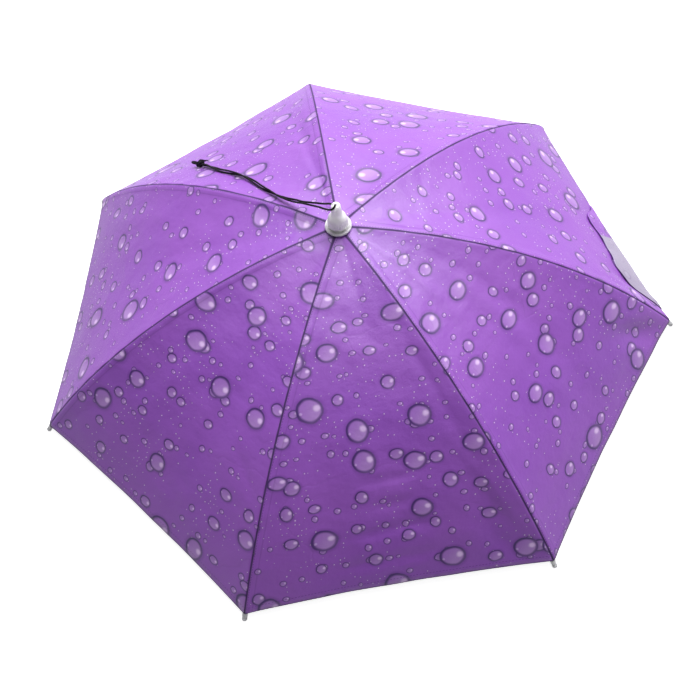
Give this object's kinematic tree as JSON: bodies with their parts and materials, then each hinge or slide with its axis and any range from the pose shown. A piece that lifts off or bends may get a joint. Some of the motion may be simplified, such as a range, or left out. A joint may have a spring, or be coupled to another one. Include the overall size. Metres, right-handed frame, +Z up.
{
  "type": "umbrella hat",
  "caption": "Head-worn umbrella: domed cloth canopy with a raindrop print on steel ribs, plastic ferrule with a thin hanging cord, and a head band with crown straps on a short shaft.",
  "frame": {"origin": "centre of the crown plate's underside, where it touches the top of the head", "axes": "+Z up along the shaft, +Y along the rib that points away from the viewer, +X to the right"},
  "size_m": [0.6426, 0.6265, 0.1948],
  "materials": {
    "canopy_cloth": "satin polyester with a raindrop print, silver-coated inside",
    "frame_steel": "plated steel channel",
    "tip_plastic": "translucent moulded plastic",
    "ferrule_plastic": "satin white moulded plastic",
    "hub_plastic": "fine-grained moulded plastic",
    "band_webbing": "ribbed elastic webbing",
    "cord_braid": "braided polyester cord"
  },
  "bodies": {
    "root": {"canopy_panel_1": "canopy_cloth", "rib_1": "frame_steel", "rib_tip_1": "tip_plastic", "stretcher_1": "frame_steel", "canopy_panel_2": "canopy_cloth", "rib_2": "frame_steel", "rib_tip_2": "tip_plastic", "stretcher_2": "frame_steel", "canopy_panel_3": "canopy_cloth", "rib_3": "frame_steel", "rib_tip_3": "tip_plastic", "stretcher_3": "frame_steel", "canopy_panel_4": "canopy_cloth", "rib_4": "frame_steel", "rib_tip_4": "tip_plastic", "stretcher_4": "frame_steel", "canopy_panel_5": "canopy_cloth", "rib_5": "frame_steel", "rib_tip_5": "tip_plastic", "stretcher_5": "frame_steel", "canopy_panel_6": "canopy_cloth", "rib_6": "frame_steel", "rib_tip_6": "tip_plastic", "stretcher_6": "frame_steel", "canopy_panel_7": "canopy_cloth", "rib_7": "frame_steel", "rib_tip_7": "tip_plastic", "stretcher_7": "frame_steel", "ferrule": "ferrule_plastic", "top_notch": "hub_plastic", "shaft": "frame_steel", "runner": "hub_plastic", "crown_plate": "hub_plastic", "head_band": "band_webbing", "crown_strap_1": "hub_plastic", "crown_strap_2": "hub_plastic", "crown_strap_3": "hub_plastic", "crown_strap_4": "hub_plastic", "cord_strand_1": "cord_braid", "cord_strand_2": "cord_braid", "cord_knot": "cord_braid"}
  },
  "joints": []
}
